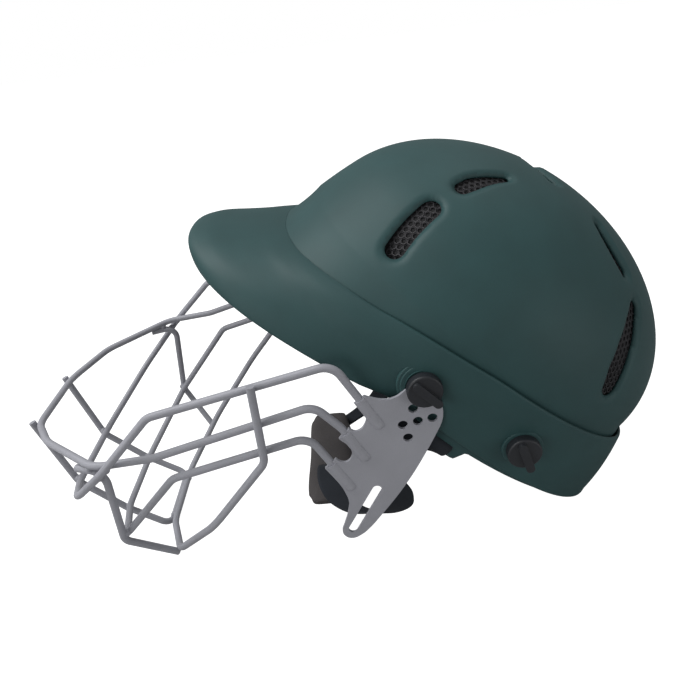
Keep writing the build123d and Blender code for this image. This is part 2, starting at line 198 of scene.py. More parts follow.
def barrels(work: bmesh.types.BMesh, place: Pair, radius: float, ends: Pair, segments: int,
            closed: bool) -> None:
    """Add a cylinder along X on both sides.

    Args:
        work: Mesh that gets the cylinders.
        place: Their middle line, back and up.
        radius: Their radius.
        ends: How far out the inner and the outer end lie.
        segments: Faces round each one.
        closed: Whether they have end faces.
    """
    foot, face = ends
    depth = face - foot
    for _, side in SIDES:
        spot = Matrix.Translation(Vector((side * (foot + depth / 2), *place)))
        bmesh.ops.create_cone(
            work, cap_ends=closed, segments=segments, radius1=radius, radius2=radius, depth=depth,
            matrix=spot @ Matrix.Rotation(math.pi / 2, 4, "Y"))


def bevelled(work: bmesh.types.BMesh, width: float, segments: int) -> None:
    """Round the edges at which two faces meet sharply.

    Args:
        work: Mesh to round.
        width: Width of the rounding in millimetres.
        segments: Faces across it.
    """
    edges = [edge for edge in work.edges if len(edge.link_faces) == 2 and edge.calc_face_angle() > 1.0]
    bmesh.ops.bevel(work, geom=edges, offset=width, offset_type="OFFSET", affect="EDGES",
                    segments=segments, profile=0.5, material=-1)


def soften(piece: bpy.types.Object, width: float) -> None:
    """Round a finished piece's sharp edges with modifiers.

    Args:
        piece: The piece, or a plain node with loose triangles.
        width: Width of the rounding in millimetres.
    """
    weld = piece.modifiers.new("weld", "WELD")
    weld.merge_threshold = 0.02 * MM
    bevel = piece.modifiers.new("edge", "BEVEL")
    bevel.width = width * MM
    bevel.segments = 3
    bevel.limit_method = "ANGLE"
    bevel.angle_limit = math.radians(40)
    bevel.harden_normals = True


def thicken(piece: bpy.types.Object, thickness: float, offset: float = -1.0) -> None:
    """Give a sheet a wall.

    Args:
        piece: The sheet.
        thickness: Thickness of the wall in millimetres.
        offset: -1 for a wall inside the sheet, 0 for one half on each side.
    """
    solid = piece.modifiers.new("wall", "SOLIDIFY")
    solid.thickness = thickness * MM
    solid.offset = offset


def fill(tree: bpy.types.NodeTree, node: bpy.types.Node, inputs: dict) -> None:
    """Set a node's inputs, or join them to other nodes.

    Args:
        tree: Node tree that the node is in.
        node: The node.
        inputs: For each input's name or number, a value or another node's output.
    """
    for key, value in inputs.items():
        if isinstance(value, bpy.types.NodeSocket):
            tree.links.new(value, node.inputs[key])
        else:
            node.inputs[key].default_value = value


def added(tree: bpy.types.NodeTree, kind: str, inputs: dict, **choices: str) -> bpy.types.Node:
    """Add a shader node.

    Args:
        tree: Node tree that gets the node.
        kind: Kind of node.
        inputs: What goes into it, as in fill.
        **choices: The node's own options, such as its operation.

    Returns:
        The node.
    """
    node = tree.nodes.new(f"ShaderNode{kind}")
    for name, choice in choices.items():
        setattr(node, name, choice)
    fill(tree, node, inputs)
    return node


def noise(tree: bpy.types.NodeTree, place: bpy.types.NodeSocket, size: float,
          detail: float) -> bpy.types.NodeSocket:
    """Add a noise.

    Args:
        tree: Node tree that gets the node.
        place: Output with the place in the piece.
        size: Size of its grains in millimetres.
        detail: How fine it gets within a grain.

    Returns:
        Output with the noise.
    """
    inputs = {"Vector": place, "Scale": 1.0 / (size * MM), "Detail": detail}
    return added(tree, "TexNoise", inputs).outputs["Fac"]


def ranged(tree: bpy.types.NodeTree, source: bpy.types.NodeSocket, low: float,
           high: float) -> bpy.types.NodeSocket:
    """Spread a noise over a range.

    Args:
        tree: Node tree that gets the nodes.
        source: Noise, most of which lies between 0.3 and 0.7.
        low: Lower end of the range.
        high: Upper end of the range.

    Returns:
        Output with the spread noise.
    """
    inputs = {"Value": source, "From Min": 0.3, "From Max": 0.7, "To Min": low, "To Max": high}
    return added(tree, "MapRange", inputs).outputs["Result"]


def times(tree: bpy.types.NodeTree, first: bpy.types.NodeSocket,
          second: bpy.types.NodeSocket) -> bpy.types.NodeSocket:
    """Output with the product of two others."""
    return added(tree, "Math", {0: first, 1: second}, operation="MULTIPLY").outputs["Value"]


class Grain(Enum):
    """Pattern of a finish."""

    PLAIN = "plain"
    CLOTH = "cloth"
    WEBBING = "webbing"


@dataclass(frozen=True)
class Finish:
    """A procedural finish: colour with fine variation, gloss and grain.

    Attributes:
        name: Name of the material.
        colour: Linear base colour.
        roughness: Roughness of the surface.
        grain: Pattern of the finish.
        size: Size of the grain in millimetres.
        bump: Height of the grain in millimetres.
        metallic: How much the surface is metal.
        vary: Share that the colour varies by, over patches.
        speck: Share that the colour varies by, over single grains.
        patch: Size of the patches in millimetres.
        ribs: Scale of a webbing's ribs over its own map.
        weave: Scale of a cloth's waves for its size of grain.
    """

    name: str
    colour: Triple
    roughness: float
    grain: Grain = Grain.PLAIN
    size: float = 0.6
    bump: float = 0.02
    metallic: float = 0.0
    vary: float = 0.12
    speck: float = 0.1
    patch: float = 26.0
    ribs: float = 30.0
    weave: float = 0.3

    def make(self) -> bpy.types.Material:
        """Build the material from its nodes.

        Returns:
            The material.
        """
        material = bpy.data.materials.new(self.name)
        material.use_nodes = True
        tree = material.node_tree
        place = added(tree, "TexCoord", {}).outputs["Object"]
        fine = noise(tree, place, self.size, 2.0)
        patches = ranged(tree, noise(tree, place, self.patch, 3.0), 1.0 - self.vary, 1.0 + self.vary)
        shade = times(tree, patches, ranged(tree, fine, 1.0 - self.speck, 1.0 + self.speck))
        height = fine
        if self.grain is not Grain.PLAIN:
            ribbed = self.grain is Grain.WEBBING
            waves = added(tree, "TexWave", {
                "Vector": added(tree, "UVMap", {}).outputs["UV"] if ribbed else place,
                "Scale": self.ribs if ribbed else self.weave / (self.size * MM),
                "Distortion": 1.2, "Detail": 1.0}, bands_direction="Y" if ribbed else "X")
            height = times(tree, waves.outputs["Fac"], ranged(tree, fine, 0.7, 1.0))
            # The colour follows the height of the waves: darker in the valleys of the weave and lighter
            # on its ridges. This is partly the weave's own pattern and partly painted shade in the
            # valleys, with painted light on the ridges.
            shade = times(tree, shade, ranged(tree, height, 0.8, 1.15))
        tint = added(tree, "VectorMath", {0: self.colour, "Scale": shade}, operation="SCALE")
        bump = added(tree, "Bump", {"Strength": 1.0, "Distance": self.bump * MM, "Height": height})
        fill(tree, tree.nodes["Principled BSDF"], {
            "Base Color": tint.outputs["Vector"], "Normal": bump.outputs["Normal"],
            "Roughness": self.roughness, "Metallic": self.metallic})
        return material


FINISHES = (
    Finish("shell_green", (0.022, 0.071, 0.073), 0.6, size=0.45, bump=0.012, vary=0.07, speck=0.06),
    Finish("guard_grey", (0.37, 0.375, 0.415), 0.5, size=0.35, bump=0.03, vary=0.06),
    Finish("mesh_black", (0.018, 0.017, 0.021), 0.55, size=0.5, bump=0.04),
    Finish("liner_foam", (0.02, 0.02, 0.022), 0.95, size=2.4, bump=0.25, speck=0.2),
    Finish("pad_cloth", (0.02, 0.021, 0.024), 1.0, Grain.CLOTH, size=0.5, bump=0.12),
    Finish("chin_vinyl", (0.06, 0.054, 0.055), 0.75, Grain.CLOTH, size=0.7, bump=0.08),
    Finish("strap_web", (0.02, 0.025, 0.034), 0.9, Grain.WEBBING, size=0.5, bump=0.35),
    Finish("knob_black", (0.018, 0.02, 0.025), 0.47, size=0.5, bump=0.01),
    Finish("zinc_steel", (0.55, 0.55, 0.56), 0.4, size=0.6, bump=0.01, metallic=1.0, vary=0.05),
)


@dataclass(frozen=True)
class Hull:
    """Outer surface of the dome and of the skirt below it, in level millimetres.

    Attributes:
        half_width: Half width of the dome's widest line.
        half_length: Half length of the dome's widest line.
        height: Height of the crown over that line.
        skirt: Depth of the skirt below that line.
        rim_half_width: Half width of the skirt's rim.
        rim_half_length: Half length of the skirt's rim.
        setback: How far the rim's middle lies behind the dome's.
        brow_top: Height under which the brow swells forward.
        brow: Swell of the brow for each squared millimetre below its top.
        brow_foot: Depth at which the brow is at its fullest.
        squareness: How much squarer the front gets down to the brow's foot.
        far: Distance beyond which nothing of the surface lies.
        halvings: How often that distance is halved to find the surface.
    """

    half_width: float = 105.0
    half_length: float = 129.5
    height: float = 94.8
    skirt: float = 57.0
    rim_half_width: float = 94.2
    rim_half_length: float = 136.2
    setback: float = 17.0
    brow_top: float = 28.0
    brow: float = 0.0051
    brow_foot: float = 27.0
    squareness: float = 0.5
    far: float = 200.0
    halvings: int = 22

    def ring(self, up: float, grow: float) -> tuple[float, float, float, float, float]:
        """Measure the surface's ring at a height.

        Args:
            up: Height over the dome's widest line.
            grow: How far outside the surface the ring runs.

        Returns:
            Half width, length to the back, length to the front, middle and squareness.
        """
        if up >= 0:
            shrink = math.sqrt(max(0.0, 1.0 - (up / self.height) ** 2))
            width = (self.half_width + grow) * shrink
            length = (self.half_length + grow) * shrink
            middle = 0.0
        else:
            share = -up / self.skirt
            width = self.half_width + (self.rim_half_width - self.half_width) * share + grow
            length = self.half_length + (self.rim_half_length - self.half_length) * share + grow
            middle = self.setback * share
        below = max(0.0, self.brow_top - max(up, -self.brow_foot))
        fade = 1.0 - smooth((-self.brow_foot - up) / (self.skirt - self.brow_foot))
        swell = self.brow * below * below * fade
        square = 2.0 + self.squareness * (below / (self.brow_top + self.brow_foot)) ** 2 * fade
        return width, length, length + swell, middle, square

    def point(self, turn: float, up: float) -> Vector:
        """Find a point of the surface.

        Args:
            turn: Turn from the wearer's left over the back, in radians.
            up: Height over the dome's widest line.

        Returns:
            The point. In front, equal turns are not equal directions.
        """
        width, back, front, middle, square = self.ring(up, 0.0)
        across, along = math.cos(turn), math.sin(turn)
        if along >= 0:
            return Vector((width * across, middle + back * along, up))
        bent = math.copysign(abs(across) ** (2 / square), across)
        return Vector((width * bent, middle - front * (-along) ** (2 / square), up))

    def reach(self, turn: float, up: float, grow: float) -> float:
        """Measure from the upright axis to the surface.

        Args:
            turn: Direction from the wearer's left over the back, in radians.
            up: Height over the dome's widest line.
            grow: How far outside the surface to measure to.

        Returns:
            The distance.
        """
        width, back, front, middle, square = self.ring(up, grow)
        low, high = 0.0, self.far
        for _ in range(self.halvings):
            trial = (low + high) / 2
            across, along = trial * math.cos(turn) / width, trial * math.sin(turn) - middle
            if along >= 0:
                inside = across * across + (along / back) ** 2 < 1
            else:
                inside = abs(across) ** square + (-along / front) ** square < 1
            low, high = (trial, high) if inside else (low, trial)
        return low

    def on_dome(self, longitude: float, latitude: float) -> Vector:
        """Find a point of the dome by longitude and latitude in degrees."""
        flat = math.cos(math.radians(latitude))
        return Vector((self.half_width * flat * math.cos(math.radians(longitude)),
                       self.half_length * flat * math.sin(math.radians(longitude)),
                       self.height * math.sin(math.radians(latitude))))

    def way_out(self, place: Vector) -> Vector:
        """Find the direction out of the dome at a place."""
        return Vector((place.x / self.half_width ** 2, place.y / self.half_length ** 2,
                       place.z / self.height ** 2)).normalized()


HULL = Hull()


@dataclass(frozen=True)
class Vent:
    """A long opening in the dome.

    Attributes:
        stops: Longitude, latitude and half width along its middle line.
        mirrored: Whether it has a twin on the other side.
        spacing: Distance between the beads along the middle line.
    """

    stops: tuple[Triple, ...]
    mirrored: bool = True
    spacing: float = 0.8

    def line(self, side: int) -> Beads:
        """String beads along the middle line.

        Args:
            side: 1 for the left vent, -1 for the right one.

        Returns:
            The beads' places, each with the vent's half width there.
        """
        beads = []
        for first, second in zip(self.stops, self.stops[1:]):
            start, end = HULL.on_dome(*first[:2]), HULL.on_dome(*second[:2])
            count = max(2, round((end - start).length / self.spacing))
            for step in range(count + 1):
                longitude, latitude, half_width = (
                    near + (far - near) * (step / count) for near, far in zip(first, second))
                place = HULL.on_dome(longitude, latitude)
                place.x *= side
                beads.append((place, half_width))
        return beads


@dataclass
class Shell:
    """The dome with its vents, inner skirt, strap tabs and the mesh behind the vents.

    Attributes:
        wall: Thickness of the shell.
        dish: Width of the dished rim round a vent.
        dish_depth: Depth of that rim.
        columns: Cells round the shell.
        dome_rows: Cells from the crown to the widest line.
        skirt_rows: Cells from there to the rim.
        cell: How near a vent's edge a point is drawn onto it.
        tab_back: How far back the middle of a strap tab lies.
        tab_half_width: Half width of a tab.
        tab_blend: Width over which a tab runs out.
        tab_drop: How far a tab hangs below the rim.
        seat_radius: Radius of an insert's seat.
        seat_foot: How far out a seat's inner end lies.
        seat_edge: Rounding of a seat.
        screws: Places of the screws, back and up.
        hex_pitch: Distance between two holes of the mesh.
        hex_bar: Half width of the bar between them.
        net_wall: Thickness of the mesh.
        net_depth: How far the mesh lies inside the dome's surface.
        net_search: How far past a vent's ends and sides holes are tried.
        net_overlap: How far past a vent's edge holes are made.
        net_join: Distance under which the corners of two holes are joined.
        vents: The vents.
    """

    wall: float = 2.6
    dish: float = 3.8
    dish_depth: float = 1.9
    columns: int = 372
    dome_rows: int = 88
    skirt_rows: int = 30
    cell: float = 1.35
    tab_back: float = 0.5
    tab_half_width: float = 15.5
    tab_blend: float = 7.0
    tab_drop: float = 9.0
    seat_radius: float = 10.5
    seat_foot: float = 84.0
    seat_edge: float = 0.8
    screws: tuple[Pair, ...] = ((-38.0, -33.0), (34.5, -31.5))
    hex_pitch: float = 4.0
    hex_bar: float = 0.85
    net_wall: float = 0.45
    net_depth: float = 3.5
    net_search: Pair = (9.0, 5.0)
    net_overlap: float = 3.4
    net_join: float = 0.12
    vents: tuple[Vent, ...] = (
        Vent(((-46.0, 8.4, 6.0), (-47.3, 15.0, 6.0), (-48.8, 25.6, 6.0))),
        Vent(((-50.6, 38.9, 4.7), (-51.0, 42.5, 5.2), (-50.9, 46.5, 4.4), (-50.2, 50.5, 3.3),
              (-49.2, 53.6, 2.4))),
        Vent(((26.4, 15.4, 6.3), (25.8, 21.7, 7.8), (26.3, 30.0, 7.4), (27.5, 38.1, 5.7),
              (29.2, 44.3, 3.9))),
        Vent(((6.5, 67.6, 2.6), (12.2, 62.9, 3.3), (18.4, 58.2, 3.5), (23.6, 54.6, 3.2))),
        Vent(((-46.0, 73.4, 3.4), (-67.0, 74.4, 3.6), (-90.0, 73.6, 3.6), (-113.0, 74.4, 3.6),
              (-134.0, 73.4, 3.4)), mirrored=False),
    )

    def lines(self) -> list[Beads]:
        """Middle lines of the vents of both sides."""
        return [vent.line(side) for vent in self.vents for side in ((1, -1) if vent.mirrored else (1,))]

    def place(self, across: float, down: float) -> Vector:
        """Find a point of the shell.

        Args:
            across: Share of the way round.
            down: Share of the way from the crown to the rim.

        Returns:
            The point, before the vents are cut.
        """
        turn, row = 2 * math.pi * across, down * (self.dome_rows + self.skirt_rows)
        if row <= self.dome_rows:
            latitude = math.pi / 2 * (1 - row / self.dome_rows)
            return HULL.point(turn, HULL.height * math.sin(latitude))
        share = (row - self.dome_rows) / self.skirt_rows
        back = HULL.point(turn, -HULL.skirt).y
        tab = smooth((self.tab_half_width - abs(back - self.tab_back)) / self.tab_blend)
        return HULL.point(turn, -share * (HULL.skirt + self.tab_drop * tab))

    def cut(self, work: bmesh.types.BMesh) -> None:
        """Open the vents and dish the shell round them.

        Args:
            work: Mesh of the shell.
        """
        doomed: set[bmesh.types.BMVert] = set()
        for beads in self.lines():
            middle = beads[len(beads) // 2][0]
            far = max((place - middle).length + radius for place, radius in beads) + self.dish
            for vertex in work.verts:
                if (vertex.co - middle).length > far + self.cell:
                    continue
                place, radius = min(beads, key=lambda bead: (bead[0] - vertex.co).length - bead[1])
                gap = (vertex.co - place).length - radius
                outward = HULL.way_out(vertex.co)
                if -self.cell < gap <= self.cell:
                    away = vertex.co - place
                    away -= outward * away.dot(outward)
                    if away.length > 0:
                        vertex.co -= away.normalized() * gap
                    gap = 0.0
                if gap <= 0:
                    doomed.add(vertex)
                if gap < self.dish:
                    vertex.co -= outward * self.dish_depth * (1 - smooth(max(gap, 0) / self.dish))
        faces = [face for face in work.faces if all(vertex in doomed for vertex in face.verts)]
        bmesh.ops.delete(work, geom=faces, context="FACES")

    def seats(self) -> bmesh.types.BMesh:
        """Model the seats that carry the threaded inserts.

        Returns:
            Their mesh, from the inserts out to the shell's inner side.
        """
        work = bmesh.new()
        for back, up in self.screws:
            surface = HULL.reach(math.atan2(back, HULL.half_width), up, 0.0) - self.wall
            barrels(work, (back, up), self.seat_radius, (self.seat_foot, surface), 48, closed=False)
        bevelled(work, self.seat_edge, 3)
        return work

    def net(self, work: bmesh.types.BMesh, beads: Beads) -> None:
        """Add a net of hexagons behind one vent.

        Args:
            work: Mesh that gets the net.
            beads: Middle line of the vent.
        """
        middle = beads[len(beads) // 2][0]
        normal = HULL.way_out(middle)
        along = beads[-1][0] - beads[0][0]
        along = (along - normal * along.dot(normal)).normalized()
        across = normal.cross(along)
        past_end, past_side = self.net_search
        half = max(abs((place - middle).dot(along)) for place, _ in beads) + past_end
        side = max(abs((place - middle).dot(across)) + radius for place, radius in beads) + past_side
        row_gap = self.hex_pitch * math.sqrt(3) / 2
        rows = math.ceil(side / row_gap)
        steps = math.ceil(half / self.hex_pitch)
        inner = Vector((HULL.half_width, HULL.half_length, HULL.height)) - Vector([self.net_depth] * 3)
        facing = Matrix((along, across, normal)).transposed().to_4x4()
        for row in range(-rows, rows + 1):
            for step in range(-steps, steps + 1):
                run = (step + 0.5 * (row % 2)) * self.hex_pitch
                place = middle + along * run + across * row * row_gap
                if min((place - bead).length - radius for bead, radius in beads) > self.net_overlap:
                    continue
                scale = math.sqrt(sum((place[axis] / inner[axis]) ** 2 for axis in range(3)))
                made = bmesh.ops.create_circle(
                    work, cap_ends=True, radius=self.hex_pitch / math.sqrt(3), segments=6,
                    matrix=Matrix.Translation(place / scale) @ facing)
                face = made["verts"][0].link_faces[0]
                bmesh.ops.inset_individual(work, faces=[face], thickness=self.hex_bar)
                bmesh.ops.delete(work, geom=[face], context="FACES_ONLY")

    def build(self, made: Materials) -> None:
        """Model the shell and the mesh, and put them in for the plain ones.

        Args:
            made: Materials by name.
        """
        work = mapped(self.columns, self.dome_rows + self.skirt_rows, self.place)
        self.cut(work)
        shell = shown(work, "vented_dome", made["shell_green"])
        thicken(shell, self.wall)
        declare(shell, "shell_green", node="dome_shell")
        declare(shown(self.seats(), "insert_seats", made["shell_green"]), "shell_green")
        work = bmesh.new()
        for beads in self.lines():
            self.net(work, beads)
        bmesh.ops.remove_doubles(work, verts=work.verts, dist=self.net_join)
        net = shown(work, "vent_net", made["mesh_black"])
        thicken(net, self.net_wall)
        declare(net, "mesh_black", node="vent_mesh")


@dataclass
class Moulding:
    """The band round the skirt that runs out into the peak, with its screw bosses.

    Attributes:
        wall: Thickness of the moulding.
        columns: Cells round it.
        rows: Cells down it, between the rounded edges.
        rim_drop: Usual depth of the lower edge.
        rim_tries: How often the lower edge's depth is worked out again.
        edge: Radius of the rounded edges.
        blend: Gap under which band and peak run into one another.
        band_lip: How far the band stands off the hull.
        brow_lip: How far the moulding stands off it under the brow.
        lip_ends: Turns, in degrees, between which the one lip grows to the other.
        rear_swell: Swell of the band at the back.
        fade: How far the peak draws in at the sides.
        fade_share: Share of the way forward at which it no longer does.
        half_width: Half width of the peak's form at its top.
        narrowing: How much narrower it gets for each millimetre down.
        narrow_from: Depth of that top.
        fronts: Depths, and how far forward the peak reaches there.
        squares: Depths, and how square the peak is there.
        seam: Turns from the side in degrees, and the upper edge's height there.
        rim: Places back from the middle, and the lower edge's height there.
        bosses: Back, up, radius and outer face of each ring round a screw.
        boss_foot: How far out the rings' inner ends lie.
        boss_edge: Rounding of the rings.
    """

    wall: float = 2.5
    columns: int = 372
    rows: int = 44
    rim_drop: float = 53.0
    rim_tries: int = 8
    edge: float = 1.5
    blend: float = 1.6
    band_lip: float = 2.9
    brow_lip: float = 0.5
    lip_ends: Pair = (-62.0, -22.0)
    rear_swell: float = 2.4
    fade: float = 7.0
    fade_share: float = 0.36
    half_width: float = 104.7
    narrowing: float = 0.2
    narrow_from: float = 4.0
    fronts: tuple[Pair, ...] = (
        (9.0, 115.0), (18.0, 127.5), (27.0, 140.5), (36.0, 153.5), (46.0, 167.0), (56.0, 180.0),
        (66.0, 186.0), (74.0, 178.5), (80.0, 171.0))
    squares: tuple[Pair, ...] = (
        (9.0, 2.5), (18.0, 2.7), (25.0, 2.75), (31.0, 2.65), (38.0, 2.5), (50.0, 2.5), (78.0, 2.36))
    seam: tuple[Pair, ...] = (
        (-90.0, -26.6), (-84.0, -26.4), (-77.0, -25.6), (-70.0, -24.4), (-65.5, -22.8), (-59.0, -20.3),
        (-53.5, -18.1), (-43.7, -14.3), (-36.7, -11.2), (-29.3, -8.8), (-21.8, -7.0), (-14.4, -5.6),
        (-5.4, -4.2), (6.2, -4.0), (90.0, -4.0))
    rim: tuple[Pair, ...] = (
        (-190.0, -75.0), (-66.0, -57.5), (-58.0, -55.6), (-48.0, -53.3), (-44.0, -53.0), (15.0, -53.0),
        (110.0, -57.5), (160.0, -58.5))
    bosses: tuple[Quad, ...] = (
        (-38.0, -33.0, 15.0, 98.2), (-38.0, -33.0, 13.2, 98.9), (34.5, -31.5, 12.0, 102.6))
    boss_foot: float = 88.0
    boss_edge: float = 0.7

    def height(self, turn: float) -> Pair:
        """Find where the moulding's edges run.

        Args:
            turn: Direction from the wearer's left over the back, in radians.

        Returns:
            Heights of the upper and of the lower edge.
        """
        top = table(self.seam, math.degrees(math.asin(math.sin(turn))))
        foot = -self.rim_drop
        for _ in range(self.rim_tries):
            back = self.reach(turn, foot, self.band_lip) * math.sin(turn)
            foot = (foot + table(self.rim, back)) / 2
        return top, foot

    def reach(self, turn: float, up: float, lip: float) -> float:
        """Measure from the upright axis to the outer surface.

        Args:
            turn: Direction from the wearer's left over the back, in radians.
            up: Height over the dome's widest line.
            lip: How far the band stands off the hull there.

        Returns:
            The distance.
        """
        band = HULL.reach(turn, up, lip)
        if math.sin(turn) >= 0:
            share = min(max(-up / self.rim_drop, 0.0), 1.0)
            return band + self.rear_swell * 4 * share * (1 - share) * math.sin(turn) ** 2
        drop = -up
        half = self.half_width - self.narrowing * (drop - self.narrow_from)
        power = table(self.squares, drop)
        peak = ((abs(math.cos(turn)) / half) ** power
                + (abs(math.sin(turn)) / table(self.fronts, drop)) ** power) ** (-1 / power)
        peak -= self.fade * (1 - smooth(-math.sin(turn) / self.fade_share))
        return max(band, peak) + self.blend / 4 * max(0.0, 1 - abs(band - peak) / self.blend) ** 2

    def profile(self) -> list[Triple]:
        """List the steps down the wall, over both rounded edges.

        Returns:
            Share of the way down, rise on top of that and pull inwards of each step.
        """
        edge = self.edge
        angles = (0.0, 0.5, 1.0, math.pi / 2)
        steps = [(0.0, -edge * (1 - math.cos(angle)), edge * (1 - math.sin(angle))) for angle in angles]
        for index in range(1, self.rows):
            steps.append((index / self.rows, edge * (2 * index / self.rows - 1), 0.0))
        steps += [(1.0, edge * (1 - math.sin(angle)), edge * (1 - math.cos(angle))) for angle in angles]
        return steps

    def skin(self) -> bmesh.types.BMesh:
        """Lay the moulding's outer side.

        Returns:
            Its mesh.
        """
        steps = self.profile()
        heights = {}

        def place(across: float, down: float) -> Vector:
            """Find a point of the outer side.

            Args:
                across: Share of the way round.
                down: Share of the steps down the wall.

            Returns:
                The point.
            """
            turn = 2 * math.pi * across
            key = round(across * self.columns)
            if key not in heights:
                heights[key] = self.height(turn)
            top, foot = heights[key]
            share, rise, pull = steps[round(down * (len(steps) - 1))]
            folded = math.degrees(math.asin(math.sin(turn)))
            low, high = self.lip_ends
            lip = self.brow_lip + (self.band_lip - self.brow_lip) * smooth((folded - low) / (high - low))
            if share < 0.5:
                pull = min(pull, lip)
            up = top + (foot - top) * share + rise
            reach = self.reach(turn, up, lip) - pull
            return Vector((reach * math.cos(turn), reach * math.sin(turn), up))

        return mapped(self.columns, len(steps) - 1, place)

    def build(self, made: Materials) -> None:
        """Model the moulding and put it in for the plain one.

        Args:
            made: Materials by name.
        """
        moulding = shown(self.skin(), "peak_and_band", made["shell_green"])
        thicken(moulding, self.wall)
        declare(moulding, "shell_green", node="peak_and_skirt")
        work = bmesh.new()
        for back, up, radius, face in self.bosses:
            barrels(work, (back, up), radius, (self.boss_foot, face), 72, closed=True)
        bevelled(work, self.boss_edge, 4)
        declare(shown(work, "screw_bosses", made["shell_green"]), "shell_green")


@dataclass
class Padding:
    """The soft pads inside the shell and the chin pad, swollen like stitched foam.

    Attributes:
        voxel: Cell of a pad's even skin.
        pressure: Pressure that swells a pad.
        frames: Frames that it swells for.
        cap: Farthest that the swelling may move a point.
        kept: Share of that movement which is kept.
        chin_middle: Middle of the chin pad, back and up.
        chin_tilt: Tilt of the chin pad, in degrees.
        chin_half_length: Half of its length.
        chin_wider: How much wider it gets all along.
        chin_flare: How much wider still its front edge gets at both ends.
        pads: Plain node, finish and fill of each pad.
    """

    voxel: float = 4.0
    pressure: float = 4.0
    frames: int = 20
    cap: float = 5.0
    kept: float = 0.5
    chin_middle: Pair = (-7.0, -164.0)
    chin_tilt: float = 42.0
    chin_half_length: float = 55.0
    chin_wider: float = 0.1
    chin_flare: float = 0.22
    pads: tuple[tuple[str, str, float], ...] = (
        ("front_pad", "pad_cloth", 0.6), ("rear_pad", "pad_cloth", 0.6),
        ("side_pad_left", "pad_cloth", 0.6), ("side_pad_right", "pad_cloth", 0.6),
        ("crown_pad", "pad_cloth", 0.5), ("chin_pad", "chin_vinyl", 0.7))

    def remeshed(self, node: bpy.types.Object, name: str) -> bpy.types.Object:
        """Copy a plain pad with an even skin.

        Args:
            node: The plain pad.
            name: Name of the copy.

        Returns:
            The copy, in the scene.
        """
        piece = bpy.data.objects.new(name, node.data.copy())
        bpy.context.scene.collection.objects.link(piece)
        piece.matrix_world = node.matrix_world
        remesh = piece.modifiers.new("even", "REMESH")
        remesh.mode = "VOXEL"
        remesh.voxel_size = self.voxel * MM
        self.bake(piece)
        return piece

    def flare(self, piece: bpy.types.Object) -> None:
        """Widen the chin pad, most of all the front edge at its two ends.

        Args:
            piece: The chin pad.
        """
        tilt = math.radians(self.chin_tilt)
        way = Vector((0.0, math.cos(tilt), math.sin(tilt)))
        stand = STAND.matrix
        level = stand.inverted()
        for vertex in piece.data.vertices:
            place = level @ vertex.co
            run = (place - Vector((0.0, *self.chin_middle))).dot(way)
            grow = self.chin_wider
            if run < 0:
                grow += self.chin_flare * (place.x / self.chin_half_length) ** 2
            vertex.co = stand @ (place + way * run * grow)

    @staticmethod
    def bake(piece: bpy.types.Object) -> None:
        """Put a piece's modifiers into its mesh.

        Args:
            piece: The piece.
        """
        graph = bpy.context.evaluated_depsgraph_get()
        mesh = bpy.data.meshes.new_from_object(piece.evaluated_get(graph))
        piece.modifiers.clear()
        piece.data = mesh

    def swell(self, piece: bpy.types.Object) -> None:
        """Blow a pad up as cloth, and limit how far it moves.

        Args:
            piece: The pad, with an even skin.
        """
        before = [vertex.co.copy() for vertex in piece.data.vertices]
        cloth = piece.modifiers.new("swell", "CLOTH")
        cloth.settings.use_pressure = True
        cloth.settings.uniform_pressure_force = self.pressure
        cloth.settings.effector_weights.gravity = 0.0
        scene = bpy.context.scene
        for number in range(1, self.frames + 1):
            scene.frame_set(number)
        self.bake(piece)
        scene.frame_set(1)
        for vertex, home in zip(piece.data.vertices, before):
            move = vertex.co - home
            if move.length > self.cap * MM:
                move *= self.cap * MM / move.length
            vertex.co = home + move * self.kept

    def build(self, frame: dict, made: Materials) -> None:
        """Model each pad and put it in for its plain one.

        Args:
            made: Materials by name.
        """
        for name, slot, stuffing in self.pads:
            piece = self.remeshed(frame["nodes"][name], f"stuffed_{name}")
            if name == "chin_pad":
                self.flare(piece)
            self.swell(piece)
            piece.data.materials.clear()
            piece.data.materials.append(made[slot])
            for face in piece.data.polygons:
                face.use_smooth = True
            rounder = piece.modifiers.new("rounder", "SUBSURF")
            rounder.levels = rounder.render_levels = 1
            declare(piece, slot, node=name)
            LOG.info("%s: %d faces", piece.name, len(piece.data.polygons))


